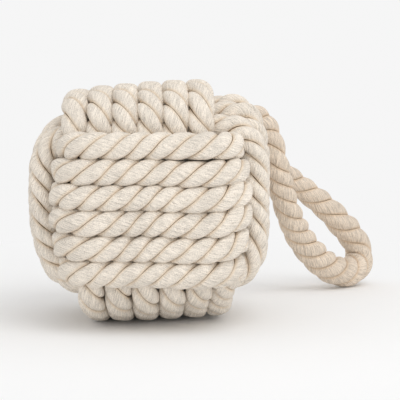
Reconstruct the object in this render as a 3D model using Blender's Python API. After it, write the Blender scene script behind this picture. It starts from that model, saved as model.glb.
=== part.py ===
"""Rope knot doorstop: a monkey's fist of three-strand cotton rope wound on a
weighted pouch, with a carrying loop held in one corner. Metres, +Z up, the
origin under the middle of the ball. Three sets of turns lie square to each
other, and each set is outermost on two faces and hidden under another set on
two faces."""

import math

import bmesh
import bpy
from mathutils import Matrix, Vector

# Rope of the ball: its thickness where it shows, the turns in a set, and the
# share of its thickness that it loses where other turns press on it
ROPE = 0.015
TURNS = 6
LANE_GAP = 0.00054
END_GAP = 0.0003
SQUEEZE = 0.265
GATHER = 0.65 * SQUEEZE
ROPE_RADIUS = (ROPE - LANE_GAP) / 2
PRESSED_RADIUS = ROPE_RADIUS * (1 - SQUEEZE)
SET_WIDTH = TURNS * ROPE

# A rope has eight flats, and its corners reach further than its flats
ROPE_SIDES = 8
CORNER_REACH = 1 / math.cos(math.pi / ROPE_SIDES)
POINTS_A_TURN = 38

# Sides of the small round pieces
ROUND_SIDES = 16

# Core: half its length along X, Y and Z, a little less than half a set
CORE_TRIM = Vector((0.0015, 0.0022, 0.0040))
CORE_HALF = Vector((SET_WIDTH, SET_WIDTH, SET_WIDTH)) / 2 - CORE_TRIM
CORE_ROUNDNESS = 4.0
POUCH_FINENESS = 4
HOLLOW_FINENESS = 3
SEAT_GAP = 0.0003
POUCH_WALL = 0.0012

# The pouch's neck leaves it at one corner, and is tied half way along. Its
# root and its length are measured along it from the outside of the pouch
NECK_CORNER = Vector((-1.0, 1.0, -1.0))
NECK_RADIUS = 0.003
NECK_BORE = 0.0018
NECK_ROOT = 0.0040
NECK_LENGTH = 0.0178
TIE_THICKNESS = 0.0012
TIE_PLACE = NECK_LENGTH / 2
CORNER_OF_CORE = math.sqrt(3) * sum(h**-CORE_ROUNDNESS for h in CORE_HALF) ** (-1 / CORE_ROUNDNESS)

# Distance from the middle of the ball to the middle of a rope, where a set is
# hidden on the core and where it shows over the set that it crosses. The
# middle turns bow out, which leaves them the room named here
TOP_BOW, SIDE_BOW, FRONT_BOW = 0.0037, 0.0048, 0.0044
TOP_RISE, SIDE_RISE, FRONT_RISE = 0.0037, 0.0020, 0.0028
TOP_INNER = CORE_HALF.y + PRESSED_RADIUS + TOP_BOW
SIDE_INNER = CORE_HALF.z + PRESSED_RADIUS + SIDE_BOW
FRONT_INNER = CORE_HALF.x + PRESSED_RADIUS + FRONT_BOW
TOP_OUTER = SIDE_INNER + PRESSED_RADIUS + ROPE_RADIUS + TOP_RISE
SIDE_OUTER = FRONT_INNER + PRESSED_RADIUS + ROPE_RADIUS + SIDE_RISE
FRONT_OUTER = TOP_INNER + PRESSED_RADIUS + ROPE_RADIUS + FRONT_RISE

# How much less the edge turns of a set reach than its middle ones
TOP_OUTER_DROP, TOP_INNER_DROP = 0.0010, 0.0039
SIDE_OUTER_DROP, SIDE_INNER_DROP = 0.0015, 0.0054
FRONT_OUTER_DROP, FRONT_INNER_DROP = 0.0015, 0.0051

# Roundness of a turn: 2 is an ellipse, and more is squarer
TOP_ROUNDNESS, SIDE_ROUNDNESS, FRONT_ROUNDNESS = 5.7, 5.4, 6.0

# The top set lies to the left on the top and to the right underneath
TOP_LEAN = 0.32 * ROPE

# The first turn of a set comes in, and the last goes out, this many degrees
# before the middle of the hidden run. The others step across to the next lane
# over this share of half that run
FREE_END = 14.0
CROSSING_SPAN = 0.8

# Height of the middle of the ball when it stands on its lowest turns
MIDDLE = TOP_OUTER + ROPE_RADIUS

# Carrying loop, in metres from the point under the middle of the ball
LOOP_ROPE = 0.0175
LOOP_RADIUS = LOOP_ROPE / 2
LOOP_ROUTE = (
    (0.0575, 0.0485, 0.1232),
    (0.0670, 0.0545, 0.1252),
    (0.0760, 0.0602, 0.1204),
    (0.0818, 0.0648, 0.1100),
    (0.0855, 0.0690, 0.0970),
    (0.0890, 0.0740, 0.0845),
    (0.0922, 0.0795, 0.0719),
    (0.0963, 0.0860, 0.0601),
    (0.1021, 0.0940, 0.0473),
    (0.1092, 0.1015, 0.0357),
    (0.1182, 0.1085, 0.0250),
    (0.1284, 0.1160, 0.0157),
    (0.1381, 0.1240, 0.0101),
    (0.1468, 0.1325, 0.0093),
    (0.1530, 0.1398, 0.0128),
    (0.1553, 0.1445, 0.0203),
    (0.1532, 0.1455, 0.0288),
    (0.1480, 0.1425, 0.0375),
    (0.1402, 0.1370, 0.0460),
    (0.1305, 0.1300, 0.0560),
    (0.1194, 0.1220, 0.0656),
    (0.1070, 0.1135, 0.0751),
    (0.0965, 0.1050, 0.0858),
    (0.0891, 0.0970, 0.0972),
    (0.0824, 0.0885, 0.1089),
    (0.0718, 0.0795, 0.1210),
    (0.0595, 0.0708, 0.1253),
    (0.0475, 0.0615, 0.1232),
)
POINTS_A_STRETCH = 2
TUBE_RESOLUTION = 2
END_BALL_ANGLES = (25, 50, 72)
LOOP_AXIS_LEFT = Vector(LOOP_ROUTE[-1])
LOOP_AXIS_RIGHT = Vector(LOOP_ROUTE[0])
LOOP_AXIS = (LOOP_AXIS_LEFT - LOOP_AXIS_RIGHT).normalized()
LOOP_MIDDLE = (LOOP_AXIS_LEFT + LOOP_AXIS_RIGHT) / 2

# Ends of the loop, pressed into the throat at the corner of the knot
ROOT_THROAT = 0.0031
ROOT_DEPTH = 0.0185
ROOT_WAIST = 0.0070
ROOT_LEAN = Vector((-0.05, -0.05, 0.10))
ROOT_HEAD_LONG = 0.0090
ROOT_HEAD_SHORT = 0.0042
ROOT_HEAD_HEIGHT = 0.0010


def clear_scene():
    for obj in list(bpy.data.objects):
        bpy.data.objects.remove(obj)


def material(name, colour, roughness):
    made = bpy.data.materials.new(name)
    made.use_nodes = True
    shader = made.node_tree.nodes["Principled BSDF"]
    shader.inputs["Base Color"].default_value = (*colour, 1.0)
    shader.inputs["Roughness"].default_value = roughness
    shader.inputs["Metallic"].default_value = 0.0
    return made


def place(name, data, finish, parent):
    data.materials.append(finish)
    obj = bpy.data.objects.new(name, data)
    bpy.context.scene.collection.objects.link(obj)
    obj.parent = parent
    return obj


def empty(name, location):
    obj = bpy.data.objects.new(name, None)
    obj.location = location
    bpy.context.scene.collection.objects.link(obj)
    return obj


def rounded(value, roundness):
    """The cosine or sine of a rounded square's outline."""
    return math.copysign(abs(value) ** (2 / roundness), value)


def smooth_step(value):
    value = min(max(value, 0.0), 1.0)
    return value * value * (3 - 2 * value)


def swept_rope(name, points, radii, across, finish, parent):
    """A rope along the points, with a radius at each of them. Two of its flats
    stay square to the direction across."""
    mesh = bpy.data.meshes.new(name)
    shape = bmesh.new()
    rings = []
    for i, (point, radius) in enumerate(zip(points, radii)):
        before = point - points[i - 1] if i else points[1] - point
        after = points[i + 1] - point if i + 1 < len(points) else before
        along = (before.normalized() + after.normalized()).normalized()
        sideways = (across - along * across.dot(along)).normalized()
        upwards = along.cross(sideways)
        ring = []
        for side in range(ROPE_SIDES):
            angle = math.tau * (side + 0.5) / ROPE_SIDES
            offset = sideways * math.cos(angle) + upwards * math.sin(angle)
            ring.append(shape.verts.new(point + offset * radius * CORNER_REACH))
        rings.append(ring)
    close_rings(shape, rings)
    shape.to_mesh(mesh)
    shape.free()
    mesh.shade_smooth()
    return place(name, mesh, finish, parent)


def close_rings(shape, rings):
    """Walls between rings of as many points, and a flat cap at both ends."""
    sides = len(rings[0])
    for low, high in zip(rings, rings[1:]):
        for i in range(sides):
            j = (i + 1) % sides
            shape.faces.new((low[i], low[j], high[j], high[i]))
    shape.faces.new(reversed(rings[0]))
    shape.faces.new(rings[-1])
    bmesh.ops.recalc_face_normals(shape, faces=shape.faces)


class TurnSet:
    """One set of turns: its lanes are set out along one axis, it shows on the
    two faces square to the outer axis, and it is hidden on the two faces
    square to the inner axis."""

    def __init__(self, name, axes, reach, drop, roundness, lean, level_base):
        self.name = name
        self.lane_axis, self.outer_axis, self.inner_axis = axes
        self.outer, self.inner = reach
        self.outer_drop, self.inner_drop = drop
        self.roundness = roundness
        self.lean = lean
        self.level_base = level_base

    def angles(self, turn):
        """From the middle of one hidden run right round to it again. The first
        and the last turn stop short of it, where the rope joins the next set."""
        step = 360.0 / POINTS_A_TURN
        found = [-90.0 + step * i for i in range(POINTS_A_TURN + 1)]
        if turn == 0:
            found = [a for a in found if a > -90.0 + FREE_END]
        if turn == TURNS - 1:
            found = [a for a in found if a < 270.0 - FREE_END]
        return found

    def lane_shift(self, along, angle):
        """The sideways step of one rope width in the hidden run, half of it at
        each end of a turn."""
        rise = smooth_step((along / CROSSING_SPAN + 1) / 2)
        if angle < 0:
            return ROPE * (rise - 1)
        if angle > 180:
            return ROPE * rise
        return 0.0

    def point(self, turn, angle):
        lane = (turn - (TURNS - 1) / 2) * ROPE
        edge = (2 * lane / (SET_WIDTH - ROPE)) ** 2
        along = rounded(math.cos(math.radians(angle)), self.roundness)
        across = rounded(math.sin(math.radians(angle)), self.roundness)
        pressed = across**4
        level = self.level_base and along < 0
        outer = self.outer - (0.0 if level else self.outer_drop * edge)
        inner = self.inner - self.inner_drop * edge
        free = (turn == 0 and angle < 0) or (turn == TURNS - 1 and angle > 180)
        step = 0.0 if free else self.lane_shift(along, angle)
        where = [0.0, 0.0, 0.0]
        where[self.lane_axis] = (lane + step) * (1 - GATHER * pressed) - self.lean * along
        where[self.outer_axis] = outer * along
        where[self.inner_axis] = inner * across
        return Vector(where), ROPE_RADIUS * (1 - SQUEEZE * pressed)

    def build(self, finish, parent):
        for turn in range(TURNS):
            path = [self.point(turn, angle) for angle in self.angles(turn)]
            points = [point for point, _ in path]
            radii = [radius for _, radius in path]
            points[0] += (points[1] - points[0]).normalized() * END_GAP / 2
            points[-1] += (points[-2] - points[-1]).normalized() * END_GAP / 2
            across = Vector([float(axis == self.lane_axis) for axis in range(3)])
            swept_rope(f"{self.name}_turn_{turn + 1}", points, radii, across, finish, parent)


def rounded_block(name, half, subdivisions):
    """A block with soft edges and corners, made from an icosphere."""
    mesh = bpy.data.meshes.new(name)
    shape = bmesh.new()
    bmesh.ops.create_icosphere(shape, subdivisions=subdivisions, radius=1.0)
    for vert in shape.verts:
        total = sum(abs(value) ** CORE_ROUNDNESS for value in vert.co)
        vert.co = Vector(h * v for h, v in zip(half, vert.co)) / total ** (1 / CORE_ROUNDNESS)
    shape.to_mesh(mesh)
    shape.free()
    mesh.shade_smooth()
    return mesh


def rod(name, direction, start, end, radius):
    """A round rod along a direction, from start to end as measured from the
    origin."""
    mesh = bpy.data.meshes.new(name)
    shape = bmesh.new()
    turn = direction.normalized().to_track_quat("Z", "Y").to_matrix().to_4x4()
    bmesh.ops.create_cone(
        shape,
        cap_ends=True,
        segments=ROUND_SIDES,
        radius1=radius,
        radius2=radius,
        depth=end - start,
        matrix=turn @ Matrix.Translation((0, 0, (start + end) / 2)),
    )
    shape.to_mesh(mesh)
    shape.free()
    return mesh


def tool(name, mesh, parent):
    """A shape that only cuts or joins another, and isn't a piece itself."""
    obj = bpy.data.objects.new(name, mesh)
    obj.hide_render = True
    obj.display_type = "WIRE"
    obj.parent = parent
    bpy.context.scene.collection.objects.link(obj)
    return obj


def combine(obj, operation, other):
    step = obj.modifiers.new(operation.lower(), "BOOLEAN")
    step.operation = operation
    step.solver = "EXACT"
    step.object = other


def build_core(parent, cloth, sand, twine):
    """The pouch with its neck in the lower left back corner, its filling, and
    the twine that ties the neck."""
    neck_root = CORNER_OF_CORE - NECK_ROOT
    neck_end = CORNER_OF_CORE + NECK_LENGTH
    neck = (NECK_CORNER, neck_root, neck_end, NECK_RADIUS)
    bore = (NECK_CORNER, neck_root, neck_end + NECK_RADIUS, NECK_BORE)
    pouch = place("pouch", rounded_block("pouch", CORE_HALF, POUCH_FINENESS), cloth, parent)
    inside = CORE_HALF - Vector((POUCH_WALL, POUCH_WALL, POUCH_WALL))
    combine(pouch, "UNION", tool("neck_shape", rod("neck_shape", *neck), parent))
    hollow = rounded_block("hollow_shape", inside, HOLLOW_FINENESS)
    combine(pouch, "DIFFERENCE", tool("hollow_shape", hollow, parent))
    combine(pouch, "DIFFERENCE", tool("bore_shape", rod("bore_shape", *bore), parent))
    heap = inside - Vector((SEAT_GAP, SEAT_GAP, SEAT_GAP))
    place("filling", rounded_block("filling", heap, HOLLOW_FINENESS), sand, parent)
    build_tie(parent, twine)


def build_tie(parent, twine):
    """A ring of twine round the neck of the pouch."""
    ring_radius = NECK_RADIUS + SEAT_GAP + TIE_THICKNESS / 2
    along = NECK_CORNER.normalized()
    middle = along * (CORNER_OF_CORE + TIE_PLACE)
    first = along.orthogonal().normalized()
    second = along.cross(first)
    curve = bpy.data.curves.new("neck_tie", "CURVE")
    curve.dimensions = "3D"
    curve.bevel_depth = TIE_THICKNESS / 2
    curve.bevel_resolution = TUBE_RESOLUTION
    spline = curve.splines.new("POLY")
    spline.points.add(ROUND_SIDES - 1)
    spline.use_cyclic_u = True
    for i, target in enumerate(spline.points):
        angle = math.tau * i / ROUND_SIDES
        outwards = math.cos(angle) * first + math.sin(angle) * second
        target.co = (*(middle + ring_radius * outwards), 1.0)
    place("neck_tie", curve, twine, parent)


def smooth_route(route):
    """Points of the smooth curve through the route's own points."""
    ends = [2 * route[0] - route[1], *route, 2 * route[-1] - route[-2]]
    found = []
    for i in range(1, len(ends) - 2):
        before, start, end, after = ends[i - 1 : i + 3]
        linear = end - before
        square = 2 * before - 5 * start + 4 * end - after
        cube = 3 * start - before - 3 * end + after
        for j in range(POINTS_A_STRETCH):
            t = j / POINTS_A_STRETCH
            found.append(start + (linear * t + square * t**2 + cube * t**3) / 2)
    found.append(route[-1].copy())
    return found


def round_end(points, at_start):
    """Points and radii of a ball end that goes on past the end of a rope."""
    end, inner = (points[0], points[1]) if at_start else (points[-1], points[-2])
    outwards = (end - inner).normalized()
    found = []
    for degrees in END_BALL_ANGLES:
        angle = math.radians(degrees)
        found.append((end + outwards * LOOP_RADIUS * math.sin(angle), LOOP_RADIUS * math.cos(angle)))
    return found


def build_loop(axis_empty, finish):
    """The carrying loop. Its two ends are balls on the axis it swings about."""
    route = [Vector(point) for point in LOOP_ROUTE]
    points = smooth_route(route)
    first = list(reversed(round_end(points, True)))
    last = round_end(points, False)
    path = first + [(point, LOOP_RADIUS) for point in points] + last
    curve = bpy.data.curves.new("carry_loop", "CURVE")
    curve.dimensions = "3D"
    curve.bevel_depth = 1.0
    curve.bevel_resolution = TUBE_RESOLUTION
    curve.use_fill_caps = True
    spline = curve.splines.new("POLY")
    spline.points.add(len(path) - 1)
    for target, (point, radius) in zip(spline.points, path):
        target.co = (*(point - axis_empty.location), 1.0)
        target.radius = radius
    place("carry_loop", curve, finish, axis_empty)


def build_root(finish):
    """The two ends of the loop's rope, pressed together in the throat between
    the turns, with a head under the ball ends of the loop."""
    corner = Vector((1.0, 1.0, 1.0))
    outwards = (corner - LOOP_AXIS * LOOP_AXIS.dot(corner)).normalized()
    sideways = outwards.cross(LOOP_AXIS)
    head = LOOP_MIDDLE - outwards * (LOOP_RADIUS + SEAT_GAP)
    sections = (
        (ROOT_DEPTH, ROOT_THROAT, ROOT_THROAT),
        (ROOT_WAIST, ROOT_THROAT, ROOT_THROAT),
        (ROOT_HEAD_HEIGHT, ROOT_HEAD_LONG, ROOT_HEAD_SHORT),
        (0.0, ROOT_HEAD_LONG, ROOT_HEAD_SHORT),
    )
    mesh = bpy.data.meshes.new("loop_root")
    shape = bmesh.new()
    rings = []
    for depth, long_radius, short_radius in sections:
        middle = head - outwards * depth + ROOT_LEAN * depth
        ring = []
        for i in range(ROUND_SIDES):
            angle = math.tau * i / ROUND_SIDES
            offset = LOOP_AXIS * long_radius * math.cos(angle)
            offset += sideways * short_radius * math.sin(angle)
            ring.append(shape.verts.new(middle + offset))
        rings.append(ring)
    close_rings(shape, rings)
    shape.to_mesh(mesh)
    shape.free()
    mesh.shade_smooth()
    place("loop_root", mesh, finish, None)


def main():
    clear_scene()
    cream = (0.78, 0.71, 0.60)
    rope = material("cotton_rope", cream, 0.92)
    loop_rope = material("loop_rope", (0.70, 0.60, 0.47), 0.92)
    cloth = material("pouch_cloth", (0.66, 0.60, 0.50), 0.95)
    sand = material("sand", (0.62, 0.50, 0.34), 1.0)
    twine = material("twine", (0.75, 0.68, 0.55), 0.9)

    ball = empty("ball_middle", (0.0, 0.0, MIDDLE))
    sets = (
        TurnSet(
            "top", (0, 2, 1), (TOP_OUTER, TOP_INNER), (TOP_OUTER_DROP, TOP_INNER_DROP),
            TOP_ROUNDNESS, TOP_LEAN, True,
        ),
        TurnSet(
            "side", (1, 0, 2), (SIDE_OUTER, SIDE_INNER), (SIDE_OUTER_DROP, SIDE_INNER_DROP),
            SIDE_ROUNDNESS, 0.0, False,
        ),
        TurnSet(
            "front", (2, 1, 0), (FRONT_OUTER, FRONT_INNER), (FRONT_OUTER_DROP, FRONT_INNER_DROP),
            FRONT_ROUNDNESS, 0.0, False,
        ),
    )
    for turn_set in sets:
        turn_set.build(rope, ball)
    build_core(ball, cloth, sand, twine)
    build_root(loop_rope)
    build_loop(empty("loop_axis", LOOP_MIDDLE), loop_rope)


main()
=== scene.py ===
"""Looks of the rope knot doorstop: three sets of six turns of laid cotton rope
round a pouch, and a carrying loop that leaves one corner. Metres, +Z up, the
origin on the floor under the middle of the ball."""

import math

import bpy
from bpy.props import FloatProperty, FloatVectorProperty, IntProperty, PointerProperty
from bpy.types import Operator, Panel, PropertyGroup
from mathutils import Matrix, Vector


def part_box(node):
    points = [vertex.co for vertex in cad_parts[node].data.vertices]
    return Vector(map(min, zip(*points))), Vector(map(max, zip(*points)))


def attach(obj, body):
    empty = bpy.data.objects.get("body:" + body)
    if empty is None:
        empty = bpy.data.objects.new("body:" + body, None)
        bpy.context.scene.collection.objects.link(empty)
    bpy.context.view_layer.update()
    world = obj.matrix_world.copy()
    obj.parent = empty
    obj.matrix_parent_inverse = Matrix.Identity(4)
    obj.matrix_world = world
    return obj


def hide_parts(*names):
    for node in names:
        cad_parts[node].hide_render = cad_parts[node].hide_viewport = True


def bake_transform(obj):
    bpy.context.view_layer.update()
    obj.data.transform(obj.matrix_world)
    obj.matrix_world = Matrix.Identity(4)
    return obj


bl_info = {
    "name": "Rope knot doorstop",
    "version": (1, 0, 0),
    "blender": (4, 5, 0),
    "location": "View3D > Sidebar > Doorstop",
    "description": "Dresses a knotted ball doorstop in laid cotton rope",
    "category": "Object",
}

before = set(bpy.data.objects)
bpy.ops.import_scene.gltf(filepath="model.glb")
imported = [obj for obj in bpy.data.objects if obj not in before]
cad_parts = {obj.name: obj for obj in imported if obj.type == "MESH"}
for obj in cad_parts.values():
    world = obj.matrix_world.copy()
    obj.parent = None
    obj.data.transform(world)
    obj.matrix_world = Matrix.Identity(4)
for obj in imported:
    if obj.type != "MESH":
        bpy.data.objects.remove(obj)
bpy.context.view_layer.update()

TURNS = 6
STRANDS = 3
ROPE_PITCH = 0.015

# Axes of each set: the one that its lanes are set out along, the one that it
# shows on, and the one that it is hidden on
SET_AXES = {"top": (0, 2, 1), "side": (1, 0, 2), "front": (2, 1, 0)}

# Radius of a turn in the solids, where it is whole and where it is pressed
# thin, and how far pressed turns draw together
SOLID_RADIUS = 0.00723
PRESSED_RADIUS = 0.00531
SQUEEZE = 1 - PRESSED_RADIUS / SOLID_RADIUS
GATHER = 0.65 * SQUEEZE

# Degrees by which the first turn of a set starts late and the last ends early,
# and the share of a turn's reach in which it crosses to the next lane
FREE_END = 14.0
CROSSING_SPAN = 0.8
POINTS_A_TURN = 180

# Middle of the ball, half way up a turn that stands on end
side_low, side_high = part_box("side_turn_3")
MIDDLE = Vector((0.0, 0.0, (side_low.z + side_high.z) / 2))

# Route of the carrying loop. It starts and ends in the corner of the knot, and
# gets this many points from each of its own points to the next
POINTS_A_STRETCH = 6
LOOP_ROUTE = (
    (0.0430, 0.0370, 0.1060),
    (0.0500, 0.0425, 0.1160),
    (0.0575, 0.0485, 0.1232),
    (0.0671, 0.0545, 0.1262),
    (0.0762, 0.0602, 0.1212),
    (0.0818, 0.0648, 0.1104),
    (0.0855, 0.0690, 0.0970),
    (0.0890, 0.0740, 0.0845),
    (0.0922, 0.0795, 0.0719),
    (0.0963, 0.0860, 0.0601),
    (0.1021, 0.0940, 0.0473),
    (0.1092, 0.1015, 0.0357),
    (0.1182, 0.1085, 0.0250),
    (0.1282, 0.1150, 0.0164),
    (0.1379, 0.1230, 0.0117),
    (0.1466, 0.1315, 0.0111),
    (0.1530, 0.1392, 0.0142),
    (0.1553, 0.1443, 0.0208),
    (0.1532, 0.1455, 0.0288),
    (0.1480, 0.1425, 0.0375),
    (0.1402, 0.1370, 0.0460),
    (0.1305, 0.1300, 0.0560),
    (0.1194, 0.1220, 0.0656),
    (0.1070, 0.1135, 0.0751),
    (0.0958, 0.1046, 0.0838),
    (0.0874, 0.0962, 0.0936),
    (0.0806, 0.0878, 0.1046),
    (0.0710, 0.0790, 0.1180),
    (0.0595, 0.0708, 0.1253),
    (0.0475, 0.0615, 0.1232),
    (0.0400, 0.0545, 0.1160),
    (0.0345, 0.0485, 0.1060),
)

# Share of the loop's length, and its lay and thickness there against their
# settings
LOOP_SHARES = (
    (0.0, 0.92, 1.0),
    (0.25, 0.92, 1.0),
    (0.43, 0.86, 1.20),
    (0.60, 1.15, 1.15),
    (0.74, 1.15, 0.96),
    (1.0, 1.15, 0.96),
)

# Direction across the loop, and the number that its noise starts from
LOOP_SIDEWAYS = (0.61, -0.79, 0.05)
LOOP_SEED = 50.0


class RopeSettings(PropertyGroup):
    """Rope of the ball."""

    thickness: FloatProperty(
        name="Thickness", description="Across the crowns of the strands",
        default=0.0172, min=0.005, max=0.03, unit="LENGTH",
    )
    room: FloatProperty(
        name="Room", description="Half the width that the next turns leave to a turn",
        default=0.00785, min=0.002, max=0.02, unit="LENGTH",
    )
    fullness: FloatProperty(
        name="Fullness", description="How far a turn fills the valleys beside it",
        default=0.45, min=0.0, max=0.6, subtype="FACTOR",
    )
    hole: FloatProperty(
        name="Hole", description="Depth of the hole beside a crease's end, as a share of the radius",
        default=0.085, min=0.0, max=0.3, subtype="FACTOR",
    )
    lay: FloatProperty(
        name="Lay", description="Length in which a strand goes once round the rope",
        default=0.0375, min=0.01, max=0.1, unit="LENGTH",
    )
    lobe: FloatProperty(
        name="Lobe", description="How far the strands stand out of the rope",
        default=0.30, min=0.0, max=0.5, subtype="FACTOR",
    )
    crease: FloatProperty(
        name="Crease", description="Depth of the crease between strands, as a share of the radius",
        default=0.055, min=0.0, max=0.3, subtype="FACTOR",
    )
    unevenness: FloatProperty(
        name="Unevenness", description="How much the strands vary in thickness",
        default=0.12, min=0.0, max=0.3, subtype="FACTOR",
    )
    colour: FloatVectorProperty(
        name="Cotton", description="Colour of the cotton",
        default=(0.87, 0.79, 0.69), size=3, min=0.0, max=1.0, subtype="COLOR",
    )
    # Painted shade: the dark brown drawn into the creases between the strands
    crease_shade_colour: FloatVectorProperty(
        name="Creases", description="Colour deep between the strands",
        default=(0.21, 0.135, 0.075), size=3, min=0.0, max=1.0, subtype="COLOR",
    )


class LoopSettings(PropertyGroup):
    """Rope of the carrying loop."""

    thickness: FloatProperty(
        name="Thickness", description="Across the crowns of the strands",
        default=0.0182, min=0.005, max=0.03, unit="LENGTH",
    )
    lay: FloatProperty(
        name="Lay", description="Length in which a strand goes once round the rope",
        default=0.0450, min=0.01, max=0.1, unit="LENGTH",
    )
    lobe: FloatProperty(
        name="Lobe", description="How far the strands stand out of the rope",
        default=0.31, min=0.0, max=0.5, subtype="FACTOR",
    )
    crease: FloatProperty(
        name="Crease", description="Depth of the crease between strands, as a share of the radius",
        default=0.08, min=0.0, max=0.3, subtype="FACTOR",
    )
    unevenness: FloatProperty(
        name="Unevenness", description="How much the strands vary in thickness",
        default=0.10, min=0.0, max=0.3, subtype="FACTOR",
    )
    colour: FloatVectorProperty(
        name="Cotton", description="Colour of the cotton",
        default=(0.82, 0.70, 0.575), size=3, min=0.0, max=1.0, subtype="COLOR",
    )
    # Painted shade: the dark brown drawn into the creases between the strands
    crease_shade_colour: FloatVectorProperty(
        name="Creases", description="Colour deep between the strands",
        default=(0.24, 0.155, 0.085), size=3, min=0.0, max=1.0, subtype="COLOR",
    )


class MeshSettings(PropertyGroup):
    """Fineness of the rope meshes."""

    ring_step: FloatProperty(
        name="Ring step", description="Distance between the rings of a rope's mesh",
        default=0.0012, min=0.0005, max=0.01, unit="LENGTH",
    )
    sides: IntProperty(
        name="Points round a rope", description="Three times as many as on one strand",
        default=42, min=12, max=96,
    )


class StageSettings(PropertyGroup):
    """Floor, light and camera."""

    floor_colour: FloatVectorProperty(
        name="Floor", description="Colour of the floor under the doorstop",
        default=(0.91, 0.91, 0.91), size=3, min=0.0, max=1.0, subtype="COLOR",
    )
    backdrop_colour: FloatVectorProperty(
        name="Backdrop", description="Colour of the backdrop and of the floor further off",
        default=(0.92, 0.92, 0.92), size=3, min=0.0, max=1.0, subtype="COLOR",
    )
    sky: FloatProperty(
        name="Sky", description="Strength of the light from all round", default=0.86, min=0.0, max=2.0,
    )
    key: FloatProperty(
        name="Key lamp", description="Power of the large lamp above and in front",
        default=6.6, min=0.0, max=100.0, unit="POWER",
    )
    fill: FloatProperty(
        name="Fill lamp", description="Power of the low lamp in front",
        default=2.2, min=0.0, max=100.0, unit="POWER",
    )
    eye: FloatVectorProperty(
        name="Camera", description="Place of the camera",
        default=(0.0, -0.897, 0.153), size=3, subtype="TRANSLATION", unit="LENGTH",
    )
    aim: FloatVectorProperty(
        name="Aim", description="Point in the middle of the view",
        default=(0.032, 0.0, 0.075), size=3, subtype="TRANSLATION", unit="LENGTH",
    )
    lens: FloatProperty(
        name="Lens", description="Focal length", default=128.0, min=10.0, max=400.0,
    )


class Tree:
    """Adds nodes to a node tree. Inputs are given by name or by number, and a
    value may be a socket to link from."""

    def __init__(self, tree):
        self.tree = tree

    def add(self, kind, inputs=None, **settings):
        node = self.tree.nodes.new(kind)
        for name, value in settings.items():
            setattr(node, name, value)
        for name, value in (inputs or {}).items():
            self.put(node.inputs[name], value)
        return node

    def put(self, socket, value):
        if isinstance(value, bpy.types.NodeSocket):
            self.tree.links.new(value, socket)
        else:
            socket.default_value = value

    def math(self, operation, *values):
        node = self.add("ShaderNodeMath", dict(enumerate(values)), operation=operation)
        return node.outputs[0]

    def plus(self, first, *others):
        for value in others:
            first = self.math("ADD", first, value)
        return first

    def times(self, first, *others):
        for value in others:
            first = self.math("MULTIPLY", first, value)
        return first

    def minus(self, first, second):
        return self.math("SUBTRACT", first, second)

    def vector(self, operation, *values):
        node = self.add("ShaderNodeVectorMath", operation=operation)
        for socket, value in zip(node.inputs, values):
            self.put(socket, value)
        return node.outputs["Value" if operation in ("DOT_PRODUCT", "LENGTH") else "Vector"]

    def scaled(self, vector, factor):
        node = self.add("ShaderNodeVectorMath", {0: vector, "Scale": factor}, operation="SCALE")
        return node.outputs[0]

    def ramp(self, value, low, high, to_low=0.0, to_high=1.0):
        """A smooth step of the value between low and high."""
        places = {"Value": value, 1: low, 2: high, 3: to_low, 4: to_high}
        return self.add("ShaderNodeMapRange", places, interpolation_type="SMOOTHSTEP").outputs[0]

    def xyz(self, x, y, z):
        return self.add("ShaderNodeCombineXYZ", {0: x, 1: y, 2: z}).outputs[0]

    def noise(self, vector, scale, detail=2.0, w=None):
        """Noise over the vector, and over w where it is given."""
        inputs = {"Vector": vector, "Scale": scale, "Detail": detail}
        if w is None:
            return self.add("ShaderNodeTexNoise", inputs).outputs[0]
        inputs["W"] = w
        return self.add("ShaderNodeTexNoise", inputs, noise_dimensions="4D").outputs[0]

    def mix(self, factor, first, second):
        """The second colour over the first, by the factor."""
        return self.add("ShaderNodeMix", {0: factor, 6: first, 7: second}, data_type="RGBA").outputs[2]


ROPE_INPUTS = (
    ("Geometry", "NodeSocketGeometry", None),
    ("Ring Step", "NodeSocketFloat", 0.0012),
    ("Sides", "NodeSocketInt", 42),
    ("Strands", "NodeSocketInt", STRANDS),
    ("Lay", "NodeSocketFloat", 0.0375),
    ("Lobe", "NodeSocketFloat", 0.3),
    ("Crease", "NodeSocketFloat", 0.07),
    ("Unevenness", "NodeSocketFloat", 0.05),
    ("Lane Axis", "NodeSocketVector", (1.0, 0.0, 0.0)),
    ("Room", "NodeSocketFloat", 1.0),
    ("Fullness", "NodeSocketFloat", 0.0),
    ("Hole", "NodeSocketFloat", 0.0),
    ("Free Side", "NodeSocketFloat", 0.0),
    ("Start Angle", "NodeSocketFloat", 0.0),
    ("Seed", "NodeSocketFloat", 0.0),
    ("Material", "NodeSocketMaterial", None),
)

# Share by which the points round a strand stand closer near its creases, and a
# little more than nothing, by which a strand's first point counts as its own
CROWDING = 0.3
STRAND_EDGE = 0.0001

# Steps of the noise that makes strands thicker and thinner, a metre and a
# strand, and of the noise that makes them waver, with how far they do
BULGES_A_METRE, BULGES_A_STRAND = 45.0, 7.3
WAVERS_A_METRE, WAVER_REACH = 30.0, 1.4

# Share of the way from a strand's crown to its creases at which a crease and a hole begin, and how much
# a hole deepens the painted crease shade
CREASE_FROM, HOLE_FROM = 0.91, 0.6
HOLE_SHADE = 0.4

# How softly the next turns stop a strand, and the room that a free side adds
ROOM_SOFTNESS, FREE_ROOM = 0.0012, 0.005

# Length in which the yarns of a strand go once round it
YARN_LAY = 0.16


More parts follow.
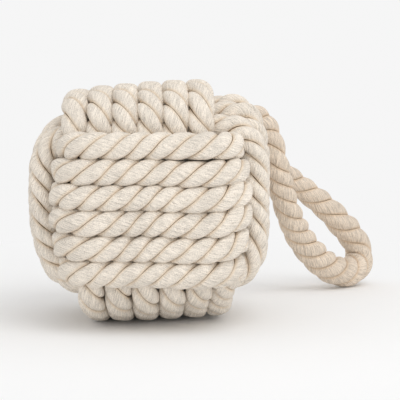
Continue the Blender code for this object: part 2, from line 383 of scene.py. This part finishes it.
def rope_tree():
    """A rope of laid strands along a curve, whose points give its radius. The
    rings are square to the curve, and turn with the strands, so that a crease
    follows one line of points."""
    group = bpy.data.node_groups.new("Laid rope", "GeometryNodeTree")
    for name, kind, default in ROPE_INPUTS:
        socket = group.interface.new_socket(name, in_out="INPUT", socket_type=kind)
        if default is not None:
            socket.default_value = default
    group.interface.new_socket("Geometry", in_out="OUTPUT", socket_type="NodeSocketGeometry")
    t = Tree(group)
    given = t.add("NodeGroupInput").outputs

    curve = {"Curve": given["Geometry"], "Length": given["Ring Step"]}
    path = t.add("GeometryNodeResampleCurve", curve, mode="LENGTH")
    ring = t.add("GeometryNodeCurvePrimitiveCircle", {"Resolution": given["Sides"], "Radius": 1.0})
    spline = t.add("GeometryNodeSplineParameter").outputs
    last, place = captured(t, path.outputs[0], "VECTOR", t.add("GeometryNodeInputPosition").outputs[0])
    last, tangent = captured(t, last, "VECTOR", t.add("GeometryNodeInputTangent").outputs[0])
    last, length = captured(t, last, "FLOAT", spline["Length"])
    last, radius = captured(t, last, "FLOAT", t.add("GeometryNodeInputRadius").outputs[0])
    last, tilt = captured(t, last, "FLOAT", t.add("GeometryNodeInputCurveTilt").outputs[0])
    circle, around = captured(t, ring.outputs[0], "FLOAT", spline["Factor"])
    tube = t.add("GeometryNodeCurveToMesh", {"Curve": last, "Profile Curve": circle, "Fill Caps": True})

    # Place across a strand, from -1 to 1, with the points closer together
    # near its two creases
    turns = t.times(around, given["Strands"])
    strand = t.math("FLOOR", t.plus(turns, STRAND_EDGE))
    even = t.minus(t.times(t.minus(turns, strand), 2.0), 1.0)
    across = t.times(even, t.minus(1.0 + CROWDING, t.times(even, even, CROWDING)))
    half = t.math("DIVIDE", math.pi, given["Strands"])
    local = t.times(across, half)
    crown = t.times(t.plus(t.times(strand, 2.0), 1.0), half)

    # Outline of one strand: an arc about a point off the middle of the rope
    wander = t.xyz(t.times(length, BULGES_A_METRE), t.times(strand, BULGES_A_STRAND), given["Seed"])
    bulge = t.minus(t.noise(wander, 1.0, detail=1.0), 0.5)
    full = t.times(radius, t.plus(1.0, t.times(bulge, given["Unevenness"])))
    off = t.times(full, given["Lobe"])
    arc = t.minus(full, off)
    sine = t.times(t.math("SINE", local), off)
    root = t.math("SQRT", t.minus(t.times(arc, arc), t.times(sine, sine)))
    outline = t.plus(t.times(t.math("COSINE", local), off), root)
    edge = t.math("ABSOLUTE", across)
    dip = t.times(t.ramp(edge, CREASE_FROM, 1.0), given["Crease"])

    # The strands go round the rope in the length of its lay, waver together,
    # and go further round by the tilt of the curve
    twist = t.math("DIVIDE", t.times(length, -math.tau), given["Lay"])
    drift = t.xyz(t.times(length, WAVERS_A_METRE), given["Seed"], 0.0)
    waver = t.times(t.minus(t.noise(drift, 1.0, detail=0.0), 0.5), WAVER_REACH)
    turned = t.plus(twist, waver, t.plus(tilt, given["Start Angle"]))
    angle = t.plus(local, crown, turned)

    # Beside a turn, where a crease meets the next turn, there is a small hole
    cosine = t.math("COSINE", angle)
    beside = t.times(cosine, cosine)
    hole = t.times(t.ramp(edge, HOLE_FROM, 1.0), beside, given["Hole"])
    reach = t.minus(outline, t.times(t.plus(dip, hole), radius))

    # Next turns press on the sides of a rope, along the lane axis, but not on
    # its free side
    wide = t.times(cosine, reach)
    side = t.math("SIGN", wide)
    free = t.math("MAXIMUM", t.times(side, given["Free Side"]), 0.0)
    room = t.plus(given["Room"], t.times(free, FREE_ROOM))
    kept = t.math("SMOOTH_MIN", t.math("ABSOLUTE", wide), room, ROOM_SOFTNESS)

    # They also square its section, so that the strands fill the valleys
    # between them, but for the ends of the creases
    corner = t.times(beside, t.minus(1.0, free), t.minus(1.0, t.times(edge, edge)))
    filled = t.plus(1.0, t.times(corner, given["Fullness"]))
    high = t.times(t.math("SINE", angle), reach, filled)
    lane = given["Lane Axis"]
    along = t.scaled(tangent, t.vector("DOT_PRODUCT", lane, tangent))
    sideways = t.vector("NORMALIZE", t.vector("SUBTRACT", lane, along))
    upwards = t.vector("CROSS_PRODUCT", tangent, sideways)
    offset = t.vector("ADD", t.scaled(sideways, t.times(side, kept)), t.scaled(upwards, high))
    outer = t.vector("ADD", place, offset)
    moved = t.add("GeometryNodeSetPosition", {"Geometry": tube.outputs[0], "Position": outer})

    # For the finish: a place in the straight rope, how deep in a crease, which the finish paints as
    # shade, and the number of the strand
    yarn_turn = t.math("DIVIDE", t.times(length, -math.tau), YARN_LAY)
    yarn = t.plus(local, crown, yarn_turn, turned)
    yarn_x = t.times(t.math("COSINE", yarn), radius)
    yarn_y = t.times(t.math("SINE", yarn), radius)
    last = moved.outputs[0]
    for name, kind, value in (
        ("rope_place", "FLOAT_VECTOR", t.xyz(yarn_x, yarn_y, length)),
        ("rope_crease", "FLOAT", t.times(edge, t.plus(1.0, t.times(hole, HOLE_SHADE)))),
        ("rope_strand", "FLOAT", t.plus(strand, t.times(given["Seed"], STRANDS))),
    ):
        inputs = {"Geometry": last, "Name": name}
        store = t.add("GeometryNodeStoreNamedAttribute", inputs, data_type=kind, domain="POINT")
        t.put(store.inputs["Value"], value)
        last = store.outputs[0]
    smooth = t.add("GeometryNodeSetShadeSmooth", {"Geometry": last})
    real = t.add("GeometryNodeRealizeInstances", {"Geometry": smooth.outputs[0]})
    inputs = {"Geometry": real.outputs[0], "Material": given["Material"]}
    finish = t.add("GeometryNodeSetMaterial", inputs)
    t.add("NodeGroupOutput", {0: finish.outputs[0]})
    return group


def captured(t, geometry, kind, value):
    """The geometry with a value kept on its points, and that value."""
    node = t.add("GeometryNodeCaptureAttribute", domain="POINT")
    node.capture_items.new(kind, "Value")
    t.put(node.inputs[0], geometry)
    t.put(node.inputs[1], value)
    return node.outputs[0], node.outputs[1]


def new_finish(name, roughness):
    """A material, its tree, its shader, and the piece's own coordinates."""
    made = bpy.data.materials.new(name)
    made.use_nodes = True
    t = Tree(made.node_tree)
    shader = made.node_tree.nodes["Principled BSDF"]
    shader.inputs["Roughness"].default_value = roughness
    return made, t, shader, t.add("ShaderNodeTexCoord").outputs["Object"]


def shade(t, value, colour):
    """The colour, lighter or darker by the value."""
    return t.add("ShaderNodeHueSaturation", {"Value": value, "Color": (*colour, 1.0)}).outputs[0]


def raise_surface(t, shader, height, strength, distance):
    """Gives the shader a bump of the height."""
    bump = t.add("ShaderNodeBump", {"Height": height, "Strength": strength, "Distance": distance})
    t.put(shader.inputs["Normal"], bump.outputs[0])


# Middle part of a noise, over which its tones change
TONES = (0.3, 0.7)

# Noise steps a metre: across, across and along for yarns and threads, and all
# ways for the others. The tone changes with the number of the strand
YARN_GRAIN, THREAD_GRAIN = (2000.0, 2000.0, 260.0), (1300.0, 1300.0, 90.0)
FUZZ_GRAIN, CLOUD_GRAIN, FLECK_GRAIN, PATCH_GRAIN = 1700.0, 38.0, 900.0, 75.0
TONE_GRAIN = 3.1

# Darkest and lightest that each grain makes the cotton
YARN_TONES, THREAD_TONES = (-0.13, 0.10), (-0.08, 0.06)
CLOUD_TONES, STRAND_TONES, FUZZ_TONES = (-0.035, 0.035), (-0.03, 0.03), (-0.12, 0.09)

# Painted shade: the cotton is painted warmer and darker towards a crease, and the crease gets a thin,
# patchy line of painted shade
WARM_SHADE_TINT, WARM_FROM, WARM_MOST = (0.96, 0.86, 0.73), 0.62, 0.65
FLECK_COLOUR, FLECK_BAND, FLECK_MOST = (0.42, 0.31, 0.20), (0.78, 0.84), 0.45
SHADE_LINE_BAND = (0.945, 0.995)
PATCH_BAND, PATCH_LEAST = (0.35, 0.62), 0.35
COTTON_ROUGHNESS, COTTON_GLOSS = 0.92, 0.2
COTTON_BUMP, COTTON_DEPTH = 0.7, 0.0013
THREAD_HEIGHT, FUZZ_HEIGHT = 0.7, 0.5


def cotton(name, colour, crease_shade_colour, coarse):
    """Laid cotton: yarns along the rope, lighter and darker strands, small flecks, and painted shade,
    warm and brown, towards and in the creases. Coarse is how much its threads show."""
    made, t, shader, body = new_finish(name, COTTON_ROUGHNESS)
    place = t.add("ShaderNodeAttribute", attribute_name="rope_place").outputs["Vector"]
    crease = t.add("ShaderNodeAttribute", attribute_name="rope_crease").outputs["Fac"]
    strand = t.add("ShaderNodeAttribute", attribute_name="rope_strand").outputs["Fac"]

    yarns = t.noise(t.vector("MULTIPLY", place, YARN_GRAIN), 1.0, detail=1.0, w=strand)
    threads = t.noise(t.vector("MULTIPLY", place, THREAD_GRAIN), 1.0, detail=0.0, w=strand)
    fuzz = t.noise(body, FUZZ_GRAIN, detail=1.0)
    cloud = t.noise(body, CLOUD_GRAIN)
    tone = t.noise(t.xyz(strand, 0.0, 0.0), TONE_GRAIN, detail=0.0)
    fleck = t.ramp(t.noise(body, FLECK_GRAIN, detail=0.0), *FLECK_BAND)

    thread_tones = [coarse * tone_end for tone_end in THREAD_TONES]
    value = t.plus(
        t.ramp(yarns, *TONES, *YARN_TONES),
        t.ramp(threads, *TONES, *thread_tones),
        t.ramp(cloud, *TONES, *CLOUD_TONES),
        t.ramp(tone, *TONES, *STRAND_TONES),
        t.ramp(fuzz, *TONES, *FUZZ_TONES),
        1.0,
    )
    # Painted shade: towards a crease the cotton is mixed to a warmer, darker tint
    warm_shade = [part * share for part, share in zip(colour, WARM_SHADE_TINT)]
    near = t.ramp(crease, WARM_FROM, 1.0, 0.0, WARM_MOST)
    shaded = t.mix(near, shade(t, value, colour), (*warm_shade, 1.0))
    flecked = t.mix(t.times(fleck, FLECK_MOST), shaded, (*FLECK_COLOUR, 1.0))
    patches = t.ramp(t.noise(body, PATCH_GRAIN, detail=1.0), *PATCH_BAND, PATCH_LEAST, 1.0)
    # Painted shade: a thin, patchy line of the crease shade colour along each crease
    line = t.times(t.ramp(crease, *SHADE_LINE_BAND), patches)
    t.put(shader.inputs["Base Color"], t.mix(line, flecked, (*crease_shade_colour, 1.0)))
    shader.inputs["Specular IOR Level"].default_value = COTTON_GLOSS

    height = t.plus(yarns, t.times(threads, THREAD_HEIGHT * coarse), t.times(fuzz, FUZZ_HEIGHT))
    raise_surface(t, shader, height, COTTON_BUMP, COTTON_DEPTH)
    return made


CLOTH_ROUGHNESS, CLOTH_BUMP = 0.95, 0.5
WEAVE_TONES, SLUB_TONES, SLUB_GRAIN = (0.9, 1.04), (-0.06, 0.06), 300.0


def plain_weave(name, colour, thread):
    """Unbleached cloth with crossing threads."""
    made, t, shader, body = new_finish(name, CLOTH_ROUGHNESS)
    parts = t.add("ShaderNodeSeparateXYZ", {0: body}).outputs
    first = t.math("SINE", t.times(parts[0], math.tau / thread))
    second = t.math("SINE", t.times(parts[2], math.tau / thread))
    weave = t.times(first, second)
    slub = t.noise(body, SLUB_GRAIN, detail=3.0)
    value = t.plus(t.ramp(weave, -1.0, 1.0, *WEAVE_TONES), t.ramp(slub, *TONES, *SLUB_TONES))
    t.put(shader.inputs["Base Color"], shade(t, value, colour))
    raise_surface(t, shader, weave, CLOTH_BUMP, thread / 4)
    return made


SAND_ROUGHNESS, SAND_BUMP = 0.9, 0.6
SAND_TONES = (0.75, 1.2)


def grains(name, colour, size):
    """Dry sand."""
    made, t, shader, body = new_finish(name, SAND_ROUGHNESS)
    cells = t.add("ShaderNodeTexVoronoi", {"Vector": body, "Scale": 1 / size})
    grey = t.add("ShaderNodeSeparateXYZ", {0: cells.outputs["Color"]}).outputs[0]
    value = t.ramp(grey, 0.0, 1.0, *SAND_TONES)
    t.put(shader.inputs["Base Color"], shade(t, value, colour))
    raise_surface(t, shader, cells.outputs["Distance"], SAND_BUMP, size / 2)
    return made


def rope_path(name, points, radii, tilts):
    """A curve object through the points, with a radius and a tilt at each."""
    curve = bpy.data.curves.new(name, "CURVE")
    curve.dimensions = "3D"
    spline = curve.splines.new("POLY")
    spline.points.add(len(points) - 1)
    for target, point, radius, tilt in zip(spline.points, points, radii, tilts):
        target.co = (*point, 1.0)
        target.radius = radius
        target.tilt = tilt
    made = bpy.data.objects.new(name, curve)
    bpy.context.scene.collection.objects.link(made)
    return made


def rope_piece(name, points, radii, inputs, tilts=None):
    """A mesh object of laid rope along the points."""
    path = rope_path(name + "_path", points, radii, tilts or [0.0] * len(points))
    group = bpy.data.node_groups.get("Laid rope") or rope_tree()
    step = path.modifiers.new("Laid rope", "NODES")
    step.node_group = group
    for item in group.interface.items_tree:
        if item.in_out == "INPUT" and item.name in inputs:
            step[item.identifier] = inputs[item.name]
    shaped = path.evaluated_get(bpy.context.evaluated_depsgraph_get())
    mesh = bpy.data.meshes.new_from_object(shaped)
    mesh.name = name
    bpy.data.objects.remove(path)
    made = bpy.data.objects.new(name, mesh)
    bpy.context.scene.collection.objects.link(made)
    return made


def smooth_step(value):
    """0 up to 0, 1 from 1, and smooth between them."""
    value = min(max(value, 0.0), 1.0)
    return value * value * (3 - 2 * value)


def step_between(value, low, high):
    """0 up to low, 1 from high, and smooth between them."""
    return smooth_step((value - low) / (high - low))


# How square a set runs round the pouch: 2 is a circle
SQUARENESS = {"top": 4.8, "side": 4.4, "front": 5.0}

# Where a turn goes under the next set: its rope is pressed thin up to the
# first of these shares of its reach, and is whole from the second
PRESSED = {"top": (0.38, 0.58), "side": (0.40, 0.66), "front": (0.58, 0.80)}

# Where it comes out again it swells into the corner
SWELL = {"top": 0.0012, "side": 0.0005, "front": 0.0048}
SWELL_SPAN = (0.66, 0.82)
FRONT_SWELL_AT_LEFT = 0.55


def turn_course(name, turn, thickness):
    """Points and radii along one turn of a set, from the middle of a hidden
    run right round to it again. Its reach comes from its solid's box."""
    lane_axis, outer_axis, inner_axis = SET_AXES[name]
    low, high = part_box(f"{name}_turn_{turn + 1}")
    inner = (high - low)[inner_axis] / 2 - PRESSED_RADIUS
    reach_up = (high - MIDDLE)[outer_axis] - thickness / 2
    reach_down = (MIDDLE - low)[outer_axis] - thickness / 2
    lane = (turn - (TURNS - 1) / 2) * ROPE_PITCH
    power = SQUARENESS[name]
    start = -90.0 + (FREE_END if turn == 0 else 0.0)
    end = 270.0 - (FREE_END if turn == TURNS - 1 else 0.0)
    points, radii = [], []
    for i in range(POINTS_A_TURN + 1):
        angle = math.radians(start + (end - start) * i / POINTS_A_TURN)
        size = (abs(math.cos(angle)) ** power + abs(math.sin(angle)) ** power) ** (-1 / power)
        along, across = size * math.cos(angle), size * math.sin(angle)
        pressed = 1 - step_between(abs(along), *PRESSED[name])
        place = Vector((0.0, 0.0, 0.0))
        place[lane_axis] = (lane + lane_shift(turn, along, angle)) * (1 - GATHER * pressed)
        place[outer_axis] = (reach_up if along > 0 else reach_down) * along
        swell = SWELL[name] * step_between(abs(along), *SWELL_SPAN) * math.sqrt(abs(across))
        if name == "front" and across < 0:
            swell *= FRONT_SWELL_AT_LEFT
        place[inner_axis] = inner * across + math.copysign(swell, across)
        place += SETTLE[name](turn, along, across, place)
        points.append(MIDDLE + place)
        radii.append(thickness / 2 * (1 - SQUEEZE * pressed))
    return points, radii


# How each set has settled. The top turns lie to the left above and to the
# right below, where they spread, and rise to the right
LEAN_ABOVE, LEAN_BELOW = 0.0068, 0.0056
LEAN_WHOLE_FROM = 0.6
SPREAD_BELOW, SPREAD_SPAN = 0.09, (0.45, 0.95)
TOP_RISE, TOP_RISE_A_TURN = 0.0003, 0.0012
ROUND_LEAST, ROUND_MORE = 0.0032, 0.0088
ROUND_SPAN = (0.15, 0.75)
RISE_BELOW = 0.0022
TO_RIGHT_POWER = 2.5


def settle_top(turn, along, across, place):
    """How far a top turn has moved from its lane."""
    share = smooth_step((along / LEAN_WHOLE_FROM + 1) / 2)
    sideways = LEAN_BELOW - (LEAN_ABOVE + LEAN_BELOW) * share
    sideways += SPREAD_BELOW * place.x * (1 - share) * step_between(-across, *SPREAD_SPAN)
    rise = TOP_RISE + TOP_RISE_A_TURN * (turn - (TURNS - 1) / 2)
    to_right = (turn / (TURNS - 1)) ** TO_RIGHT_POWER
    rounded = (ROUND_LEAST + ROUND_MORE * to_right) * step_between(-across, *ROUND_SPAN)
    below = (rounded + RISE_BELOW * to_right) * smooth_step(-along)
    return Vector((sideways, 0.0, rise * smooth_step(along) + below))


# The side turns draw in at the left, and most of all low down. At the upper
# right they are pushed out by the loop's rope under them, the front ones less
TAPER_ABOVE, TAPER_BELOW, TAPER_SPAN = 0.0003, 0.0036, 0.75
SHOULDER_UP, SHOULDER_OUT = 0.0122, 0.0024
SHOULDER_RISE, SHOULDER_FALL = (0.024, 0.053), (0.060, 0.080)
SHOULDER_SHARES = (0.4, 0.8, 1.0, 1.0, 1.0, 1.0)
SIDE_CLOSER = 0.030


def settle_side(turn, along, across, place):
    """How far a side turn has moved from its lane."""
    taper = TAPER_ABOVE if across > 0 else TAPER_BELOW
    inwards = taper * smooth_step(abs(across) / TAPER_SPAN) * smooth_step(-along)
    pushed = step_between(place.x, *SHOULDER_RISE) * (1 - step_between(place.x, *SHOULDER_FALL))
    pushed *= smooth_step(across) * SHOULDER_SHARES[turn]
    closer = -SIDE_CLOSER * place.y * step_between(abs(along), *PRESSED["side"])
    return Vector((inwards + SHOULDER_OUT * pushed, closer, SHOULDER_UP * pushed))


# The front turns sag right of the middle of the front, and the lower ones rise
# at its ends, more so at the right
SAG, SAG_PLACE, SAG_SPAN = 0.0014, 0.027, 0.030
LIFT, LIFT_HALF_TURN, LIFT_TURNS = 0.0045, 3.0, 3.0
LIFT_SPAN = (0.040, 0.056)
LIFT_AT_LEFT = 0.5


def settle_front(turn, along, across, place):
    """How far a front turn has moved from its lane."""
    share = smooth_step((LIFT_HALF_TURN - turn) / LIFT_TURNS + 0.5)
    ends = step_between(abs(place.x), *LIFT_SPAN)
    lift = LIFT * share * ends * (1.0 if place.x > 0 else LIFT_AT_LEFT)
    sag = 0.0
    if turn < TURNS - 1:
        sag = SAG * (1 - smooth_step(abs(place.x - SAG_PLACE) / SAG_SPAN))
    return Vector((0.0, 0.0, (lift - sag) * smooth_step(-along / LEAN_WHOLE_FROM)))


SETTLE = {"top": settle_top, "side": settle_side, "front": settle_front}


def lane_shift(turn, along, angle):
    """The step across to the next lane, half of it at each end of a turn, in
    the hidden run."""
    rise = smooth_step((along / CROSSING_SPAN + 1) / 2)
    if angle < 0 and turn > 0:
        return ROPE_PITCH * (rise - 1)
    if angle > math.pi and turn < TURNS - 1:
        return ROPE_PITCH * rise
    return 0.0


def smooth_route(route):
    """Points of the smooth curve through the route's own points."""
    ends = [2 * route[0] - route[1], *route, 2 * route[-1] - route[-2]]
    found = []
    for i in range(1, len(ends) - 2):
        before, start, end, after = ends[i - 1 : i + 3]
        linear = end - before
        square = 2 * before - 5 * start + 4 * end - after
        cube = 3 * start - before - 3 * end + after
        for j in range(POINTS_A_STRETCH):
            t = j / POINTS_A_STRETCH
            found.append(start + (linear * t + square * t**2 + cube * t**3) / 2)
    found.append(route[-1].copy())
    return found


# How much further the strands of a set stand out, and how much more room its
# turns have
LOBE_MORE = {"top": 0.01, "side": 0.10, "front": 0.0}
ROOM_MORE = {"top": 0.0006, "side": 0.0, "front": 0.0}

# Angle from one turn's strands to the next turn's, and how coarse each rope is
START_ANGLE_STEP = 1.9
BALL_COARSE, LOOP_COARSE = 1.0, 1.7


def laid_inputs(context, rope):
    """The inputs of a rope's mesh that come from its settings."""
    fineness = context.scene.doorstop_mesh
    return {
        "Ring Step": fineness.ring_step, "Sides": fineness.sides, "Strands": STRANDS,
        "Lay": rope.lay, "Lobe": rope.lobe, "Crease": rope.crease, "Unevenness": rope.unevenness,
    }


def make_turns(context, name, seed):
    """The six turns of a set, dressed over their solids."""
    rope = context.scene.doorstop_rope
    finish = bpy.data.materials.get("cotton_rope_finish")
    if finish is None:
        finish = cotton("cotton_rope_finish", rope.colour, rope.crease_shade_colour, BALL_COARSE)
    axis = [0.0, 0.0, 0.0]
    axis[SET_AXES[name][0]] = 1.0
    inputs = laid_inputs(context, rope)
    inputs.update({
        "Lobe": rope.lobe + LOBE_MORE[name], "Lane Axis": axis, "Room": rope.room + ROOM_MORE[name],
        "Fullness": rope.fullness, "Hole": rope.hole, "Material": finish,
    })
    for turn in range(TURNS):
        points, radii = turn_course(name, turn, rope.thickness)
        inputs["Free Side"] = {0: -1.0, TURNS - 1: 1.0}.get(turn, 0.0)
        inputs["Start Angle"] = START_ANGLE_STEP * (seed + turn)
        inputs["Seed"] = float(seed + turn)
        piece = rope_piece(f"{name}_rope_{turn + 1}", points, radii, inputs)
        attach(piece, "knot")
        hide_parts(f"{name}_turn_{turn + 1}")


class DOORSTOP_OT_top_turns(Operator):
    """Lay the six turns that cross the top and the underside"""

    bl_idname = "doorstop.top_turns"
    bl_label = "Top turns"

    def execute(self, context):
        make_turns(context, "top", 0)
        return {"FINISHED"}


class DOORSTOP_OT_side_turns(Operator):
    """Lay the six turns that run down the left and right sides"""

    bl_idname = "doorstop.side_turns"
    bl_label = "Side turns"

    def execute(self, context):
        make_turns(context, "side", TURNS)
        return {"FINISHED"}


class DOORSTOP_OT_front_turns(Operator):
    """Lay the six level turns of the front and the back"""

    bl_idname = "doorstop.front_turns"
    bl_label = "Front turns"

    def execute(self, context):
        make_turns(context, "front", 2 * TURNS)
        return {"FINISHED"}


def loop_course(points, loop):
    """Radii along the loop, and the tilts that lengthen or shorten its lay."""
    radii, tilts, tilt = [], [], 0.0
    for i, point in enumerate(points):
        share = i / (len(points) - 1)
        for (low, *first), (high, *last) in zip(LOOP_SHARES, LOOP_SHARES[1:]):
            if low <= share <= high:
                blend = step_between(share, low, high)
                lay, thickness = (a + (b - a) * blend for a, b in zip(first, last))
        if i > 0:
            tilt -= math.tau * (point - points[i - 1]).length / loop.lay * (1 / lay - 1)
        radii.append(loop.thickness / 2 * thickness)
        tilts.append(tilt)
    return radii, tilts


class DOORSTOP_OT_carry_loop(Operator):
    """Lay the carrying loop"""

    bl_idname = "doorstop.carry_loop"
    bl_label = "Carrying loop"

    def execute(self, context):
        loop = context.scene.doorstop_loop
        points = smooth_route([Vector(point) for point in LOOP_ROUTE])
        radii, tilts = loop_course(points, loop)
        inputs = laid_inputs(context, loop)
        inputs.update({
            "Lane Axis": LOOP_SIDEWAYS, "Seed": LOOP_SEED,
            "Material": cotton("loop_rope_finish", loop.colour, loop.crease_shade_colour, LOOP_COARSE),
        })
        piece = rope_piece("carrying_loop_rope", points, radii, inputs, tilts)
        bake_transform(piece)
        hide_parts("carry_loop", "loop_root")
        return {"FINISHED"}


# Colour of each finish of the core, and the width of its threads or grains
POUCH_COLOUR, POUCH_THREAD = (0.50, 0.44, 0.35), 0.0012
SAND_COLOUR, SAND_GRAIN = (0.62, 0.50, 0.34), 0.0007
TWINE_THREAD = 0.0005


class DOORSTOP_OT_core(Operator):
    """Finish the pouch, its filling and the twine round its neck"""

    bl_idname = "doorstop.core"
    bl_label = "Weighted pouch"

    def execute(self, context):
        rope = context.scene.doorstop_rope
        finishes = {
            "pouch": plain_weave("pouch_cloth_finish", POUCH_COLOUR, POUCH_THREAD),
            "filling": grains("sand_finish", SAND_COLOUR, SAND_GRAIN),
            "neck_tie": plain_weave("twine_finish", rope.colour, TWINE_THREAD),
        }
        for node, finish in finishes.items():
            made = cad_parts[node]
            made.data.materials.clear()
            made.data.materials.append(finish)
        return {"FINISHED"}


FLOOR_HALF = 8.0
FLOOR_ROUGHNESS = 0.9
WHITE = (1.0, 1.0, 1.0, 1.0)

# The floor shows its own colour and the shadow up to the first of these
# distances from the middle, and is as plain as the backdrop from the second
FADE_START, FADE_END = 0.16, 0.42
FADE_MIDDLE = (0.03, 0.02, 0.0)

# Place and width of each lamp
KEY_LAMP = ((0.58, -0.78, 1.40), 1.2)
FILL_LAMP = ((0.35, -1.2, 0.12), 0.8)


class DOORSTOP_OT_stage(Operator):
    """Make the floor, the lamps, the sky and the camera"""

    bl_idname = "doorstop.stage"
    bl_label = "Stage"

    def execute(self, context):
        stage = context.scene.doorstop_stage
        self.make_floor(context, stage)
        self.make_light(context, stage)
        self.make_camera(context, stage)
        return {"FINISHED"}

    def seen(self, t):
        """1 for what the camera sees by itself, in a gloss or through glass."""
        path = t.add("ShaderNodeLightPath").outputs
        both = t.math("MAXIMUM", path["Is Camera Ray"], path["Is Glossy Ray"])
        return t.math("MAXIMUM", both, path["Is Transmission Ray"])

    def make_floor(self, context, stage):
        """A floor that takes the shadow near the doorstop, and is the plain
        colour of the backdrop further off."""
        mesh = bpy.data.meshes.new("floor")
        signs = ((-1, -1), (1, -1), (1, 1), (-1, 1))
        corners = [(x * FLOOR_HALF, y * FLOOR_HALF, 0.0) for x, y in signs]
        mesh.from_pydata(corners, [], [(0, 1, 2, 3)])
        finish, t, shader, body = new_finish("floor_paper", FLOOR_ROUGHNESS)
        shader.inputs["Base Color"].default_value = (*stage.floor_colour, 1.0)
        shader.inputs["Specular IOR Level"].default_value = 0.0
        away = t.vector("LENGTH", t.vector("SUBTRACT", body, FADE_MIDDLE))
        fade = t.times(t.ramp(away, FADE_START, FADE_END), self.seen(t))
        plain = t.add("ShaderNodeEmission", {"Color": (*stage.backdrop_colour, 1.0), "Strength": 1.0})
        both = t.add("ShaderNodeMixShader", {0: fade, 1: shader.outputs[0], 2: plain.outputs[0]})
        t.put(finish.node_tree.nodes["Material Output"].inputs["Surface"], both.outputs[0])
        mesh.materials.append(finish)
        floor = bpy.data.objects.new("floor", mesh)
        context.scene.collection.objects.link(floor)

    def make_light(self, context, stage):
        """A white sky, which is seen as the plain backdrop, and two lamps."""
        world = bpy.data.worlds.new("studio")
        world.use_nodes = True
        t = Tree(world.node_tree)
        sky = world.node_tree.nodes["Background"]
        sky.inputs["Color"].default_value = WHITE
        sky.inputs["Strength"].default_value = stage.sky
        plain = t.add("ShaderNodeBackground", {"Color": (*stage.backdrop_colour, 1.0), "Strength": 1.0})
        both = t.add("ShaderNodeMixShader", {0: self.seen(t), 1: sky.outputs[0], 2: plain.outputs[0]})
        t.put(world.node_tree.nodes["World Output"].inputs["Surface"], both.outputs[0])
        context.scene.world = world
        self.make_lamp(context, "key", stage.key, *KEY_LAMP)
        self.make_lamp(context, "fill", stage.fill, *FILL_LAMP)

    def make_lamp(self, context, name, power, place, size):
        """A round lamp that faces the ball."""
        lamp = bpy.data.lights.new(name, "AREA")
        lamp.shape = "DISK"
        lamp.size = size
        lamp.energy = power
        holder = bpy.data.objects.new(name, lamp)
        holder.location = place
        holder.rotation_euler = (MIDDLE - holder.location).to_track_quat("-Z", "Y").to_euler()
        context.scene.collection.objects.link(holder)

    def make_camera(self, context, stage):
        """The camera, at the photograph's viewing angle."""
        camera = bpy.data.cameras.new("camera")
        camera.lens = stage.lens
        holder = bpy.data.objects.new("camera", camera)
        holder.location = stage.eye
        aim = Vector(stage.aim) - Vector(stage.eye)
        holder.rotation_euler = aim.to_track_quat("-Z", "Y").to_euler()
        context.scene.collection.objects.link(holder)
        context.scene.camera = holder
        context.scene.view_settings.view_transform = "Standard"


class DOORSTOP_PT_panel(Panel):
    """Settings and pieces of the doorstop"""

    bl_idname = "DOORSTOP_PT_panel"
    bl_label = "Rope knot doorstop"
    bl_space_type = "VIEW_3D"
    bl_region_type = "UI"
    bl_category = "Doorstop"

    def draw(self, context):
        layout = self.layout
        for title, settings in SETTINGS.items():
            box = layout.box()
            box.label(text=settings.__doc__)
            group = getattr(context.scene, title)
            for prop in settings.__annotations__:
                box.prop(group, prop)
        for operator in OPERATORS:
            layout.operator(operator.bl_idname)


SETTINGS = {
    "doorstop_rope": RopeSettings,
    "doorstop_loop": LoopSettings,
    "doorstop_mesh": MeshSettings,
    "doorstop_stage": StageSettings,
}
OPERATORS = (
    DOORSTOP_OT_stage,
    DOORSTOP_OT_carry_loop,
    DOORSTOP_OT_front_turns,
    DOORSTOP_OT_side_turns,
    DOORSTOP_OT_top_turns,
    DOORSTOP_OT_core,
)
CLASSES = (*SETTINGS.values(), *OPERATORS, DOORSTOP_PT_panel)


def register():
    for item in CLASSES:
        bpy.utils.register_class(item)
    for title, settings in SETTINGS.items():
        setattr(bpy.types.Scene, title, PointerProperty(type=settings))


def unregister():
    for title in SETTINGS:
        delattr(bpy.types.Scene, title)
    for item in reversed(CLASSES):
        bpy.utils.unregister_class(item)


def main():
    register()
    bpy.ops.doorstop.stage()
    bpy.ops.doorstop.carry_loop()
    bpy.ops.doorstop.front_turns()
    bpy.ops.doorstop.side_turns()
    bpy.ops.doorstop.top_turns()
    bpy.ops.doorstop.core()


if __name__ == "__main__":
    main()
